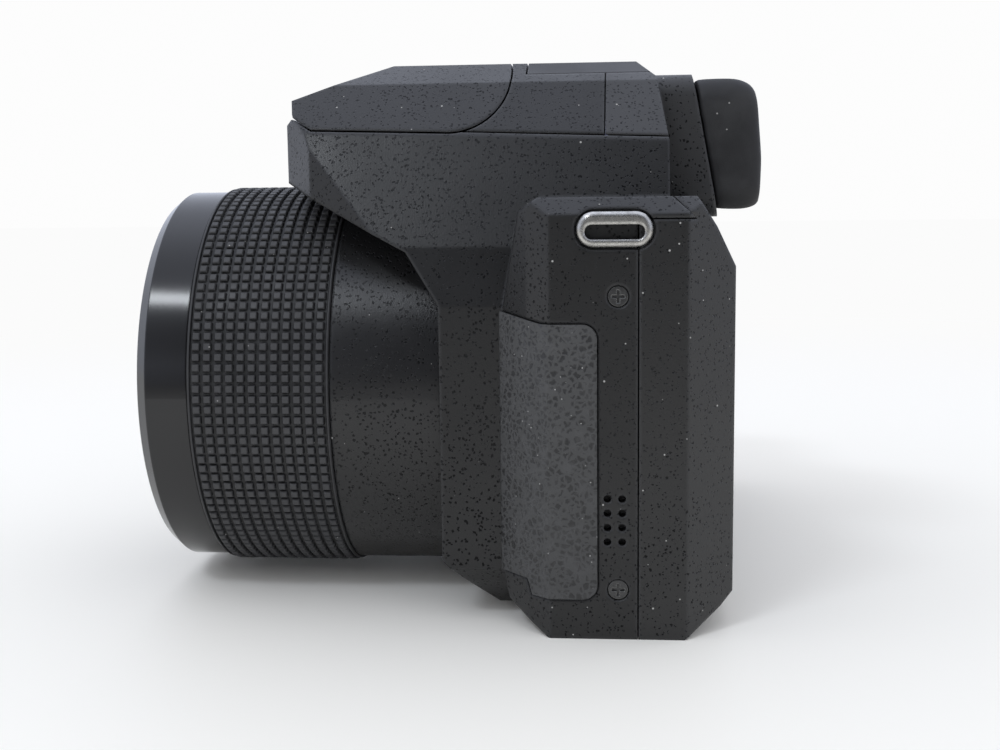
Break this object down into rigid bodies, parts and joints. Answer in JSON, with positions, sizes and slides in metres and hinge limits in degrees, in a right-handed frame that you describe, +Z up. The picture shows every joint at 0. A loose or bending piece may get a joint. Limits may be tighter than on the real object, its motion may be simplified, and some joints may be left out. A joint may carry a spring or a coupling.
{
  "type": "bridge camera",
  "caption": "Bridge camera with a fixed long zoom lens, a raised flash hump with an eyepiece, a deep hand grip and a rear screen, lens drawn in.",
  "frame": {"origin": "centre of the tripod socket's mouth, in the plane of the base", "axes": "+Z up, -Y towards the subject along the lens, +X to the side of the viewer's left hand"},
  "size_m": [0.12, 0.1013, 0.0889],
  "materials": {
    "cover_plastic": "fine spatter texture, matte black",
    "panel_plastic": "smooth satin black",
    "ring_gloss": "glossy black with a turned edge",
    "barrel_plastic": "satin black",
    "sleeve_rubber": "studded rubber",
    "skin_rubber": "leather grain rubber",
    "cup_rubber": "soft matte rubber",
    "control_plastic": "satin black",
    "dial_metal": "satin black, knurled",
    "lug_steel": "bright stamped steel",
    "screw_steel": "black zinc",
    "inner_steel": "plain pressed steel",
    "socket_brass": "turned",
    "inner_plastic": "plain moulded",
    "lens_glass": "coated optical glass",
    "screen_glass": "hard clear cover over a dark screen",
    "lamp_lens": "clear ribbed plastic",
    "board_green": "circuit board",
    "battery_case": "smooth",
    "card_case": "smooth",
    "sensor_package": "chip carrier and cover glass"
  },
  "bodies": {
    "camera_body": {"front_cover": "cover_plastic", "rear_cover": "cover_plastic", "top_cover": "cover_plastic", "hump_cover": "cover_plastic", "viewfinder_cover": "cover_plastic", "hump_panel": "panel_plastic", "flash_frame": "inner_plastic", "hinge_pins": "inner_steel", "front_collar": "ring_gloss", "grip_sleeve": "sleeve_rubber", "lens_housing": "barrel_plastic", "lens_carrier": "inner_plastic", "chassis": "inner_steel", "main_board": "board_green", "battery_chamber": "inner_plastic", "battery": "battery_case", "memory_card": "card_case", "base_plate": "cover_plastic", "tripod_socket": "socket_brass", "terminal_sockets": "inner_steel", "pod_rubber": "skin_rubber", "hand_rubbers": "skin_rubber", "eyecup": "cup_rubber", "viewfinder_optics": "lens_glass", "screen_window": "screen_glass", "screen_panel": "inner_steel", "case_screws": "screw_steel", "strap_lugs": "lug_steel", "speaker_and_microphones": "inner_steel", "focus_lamp": "lamp_lens"},
    "mid_barrel": {"mid_barrel": "barrel_plastic"},
    "front_barrel": {"front_barrel": "barrel_plastic", "name_ring": "ring_gloss", "front_lens": "lens_glass"},
    "cam_ring": {"cam_ring": "inner_plastic"},
    "zoom_group": {"zoom_group": "inner_plastic"},
    "focus_group": {"focus_group": "inner_plastic"},
    "flash_head": {"flash_head": "cover_plastic", "flash_lamp": "inner_plastic", "flash_window": "lamp_lens"},
    "sensor_slider": {"sensor_slider": "inner_steel"},
    "sensor_stage": {"sensor_stage": "sensor_package"},
    "battery_door": {"battery_door": "cover_plastic"},
    "door_latch": {"door_latch": "control_plastic"},
    "terminal_cover": {"terminal_cover": "skin_rubber"},
    "diopter_dial": {"diopter_dial": "control_plastic"},
    "mode_dial": {"mode_dial": "dial_metal"},
    "control_dial": {"control_dial": "dial_metal"},
    "zoom_lever": {"zoom_lever": "control_plastic"},
    "shutter_button": {"shutter_button": "control_plastic"},
    "power_button": {"power_button": "control_plastic"},
    "drive_button": {"drive_button": "control_plastic"},
    "exposure_button": {"exposure_button": "control_plastic"},
    "playback_button": {"playback_button": "control_plastic"},
    "delete_button": {"delete_button": "control_plastic"},
    "menu_button": {"menu_button": "control_plastic"},
    "info_button": {"info_button": "control_plastic"},
    "movie_button": {"movie_button": "control_plastic"},
    "four_way_pad": {"four_way_pad": "control_plastic"},
    "ok_button": {"ok_button": "control_plastic"}
  },
  "joints": [
    {"name": "lens_extend", "type": "slide", "parent": "camera_body", "child": "mid_barrel", "axis": [0, -1, 0], "range_m": [0, 0.028]},
    {"name": "front_extend", "type": "slide", "parent": "mid_barrel", "child": "front_barrel", "axis": [0, -1, 0], "range_m": [0, 0.026]},
    {"name": "zoom_group_slide", "type": "slide", "parent": "camera_body", "child": "zoom_group", "axis": [0, -1, 0], "range_m": [0, 0.03]},
    {"name": "cam_turn", "type": "hinge", "parent": "camera_body", "child": "cam_ring", "pos_m": [0, -0.04, 0.035], "axis": [0, -1, 0], "range_deg": [0, 120]},
    {"name": "focus_slide", "type": "slide", "parent": "camera_body", "child": "focus_group", "axis": [0, -1, 0], "range_m": [0, 0.006]},
    {"name": "flash_lift", "type": "hinge", "parent": "camera_body", "child": "flash_head", "pos_m": [0, -0.027, 0.0863], "axis": [-1, 0, 0], "range_deg": [0, 60]},
    {"name": "shutter_press", "type": "slide", "parent": "camera_body", "child": "shutter_button", "axis": [0, 0.3231, -0.9463], "range_m": [0, 0.001], "stiffness_N_per_m": 300},
    {"name": "zoom_lever_turn", "type": "hinge", "parent": "camera_body", "child": "zoom_lever", "pos_m": [-0.06018, -0.02325, 0.0605], "axis": [0, -0.3231, 0.9463], "range_deg": [-20, 20], "stiffness_Nm_per_rad": 0.02},
    {"name": "power_press", "type": "slide", "parent": "camera_body", "child": "power_button", "axis": [0, 0, -1], "range_m": [0, 0.0006], "stiffness_N_per_m": 300},
    {"name": "drive_press", "type": "slide", "parent": "camera_body", "child": "drive_button", "axis": [0, 0, -1], "range_m": [0, 0.0006], "stiffness_N_per_m": 300},
    {"name": "exposure_press", "type": "slide", "parent": "camera_body", "child": "exposure_button", "axis": [0, 0, -1], "range_m": [0, 0.0006], "stiffness_N_per_m": 300},
    {"name": "playback_press", "type": "slide", "parent": "camera_body", "child": "playback_button", "axis": [0, -1, 0], "range_m": [0, 0.0006], "stiffness_N_per_m": 300},
    {"name": "delete_press", "type": "slide", "parent": "camera_body", "child": "delete_button", "axis": [0, -1, 0], "range_m": [0, 0.0006], "stiffness_N_per_m": 300},
    {"name": "menu_press", "type": "slide", "parent": "camera_body", "child": "menu_button", "axis": [0, -1, 0], "range_m": [0, 0.0006], "stiffness_N_per_m": 300},
    {"name": "info_press", "type": "slide", "parent": "camera_body", "child": "info_button", "axis": [0, -1, 0], "range_m": [0, 0.0006], "stiffness_N_per_m": 300},
    {"name": "movie_press", "type": "slide", "parent": "camera_body", "child": "movie_button", "axis": [0, -1, 0], "range_m": [0, 0.0006], "stiffness_N_per_m": 300},
    {"name": "ok_press", "type": "slide", "parent": "camera_body", "child": "ok_button", "axis": [0, -1, 0], "range_m": [0, 0.0006], "stiffness_N_per_m": 300},
    {"name": "pad_turn", "type": "hinge", "parent": "camera_body", "child": "four_way_pad", "pos_m": [-0.05344, 0.0166, 0.0256], "axis": [0, 1, 0], "continuous": true},
    {"name": "mode_dial_turn", "type": "hinge", "parent": "camera_body", "child": "mode_dial", "pos_m": [-0.04419, -0.0002, 0.067], "axis": [0, 0, 1], "continuous": true},
    {"name": "control_dial_turn", "type": "hinge", "parent": "camera_body", "child": "control_dial", "pos_m": [-0.0672, 0.00478, 0.066], "axis": [0, 0, 1], "continuous": true},
    {"name": "diopter_turn", "type": "hinge", "parent": "camera_body", "child": "diopter_dial", "pos_m": [-0.018, 0.0116, 0.068], "axis": [-1, 0, 0], "range_deg": [-120, 120]},
    {"name": "battery_door_swing", "type": "hinge", "parent": "camera_body", "child": "battery_door", "pos_m": [-0.046, -0.011, 0.001], "axis": [0, -1, 0], "range_deg": [0, 95]},
    {"name": "door_latch_slide", "type": "slide", "parent": "battery_door", "child": "door_latch", "axis": [1, 0, 0], "range_m": [0, 0.0025]},
    {"name": "terminal_cover_swing", "type": "hinge", "parent": "camera_body", "child": "terminal_cover", "pos_m": [-0.0743, 0.0126, 0.036], "axis": [0, 0, -1], "range_deg": [0, 95]},
    {"name": "sensor_shift_side", "type": "slide", "parent": "camera_body", "child": "sensor_slider", "axis": [1, 0, 0], "range_m": [-0.0005, 0.0005], "stiffness_N_per_m": 2000},
    {"name": "sensor_shift_up", "type": "slide", "parent": "sensor_slider", "child": "sensor_stage", "axis": [0, 0, 1], "range_m": [-0.0005, 0.0005], "stiffness_N_per_m": 2000}
  ],
  "couplings": [
    {"joint": "front_extend", "follows": "lens_extend", "ratio": 0.9285},
    {"joint": "zoom_group_slide", "follows": "lens_extend", "ratio": 1.0714},
    {"joint": "cam_turn", "follows": "lens_extend", "rad_per_m": 74.737}
  ]
}
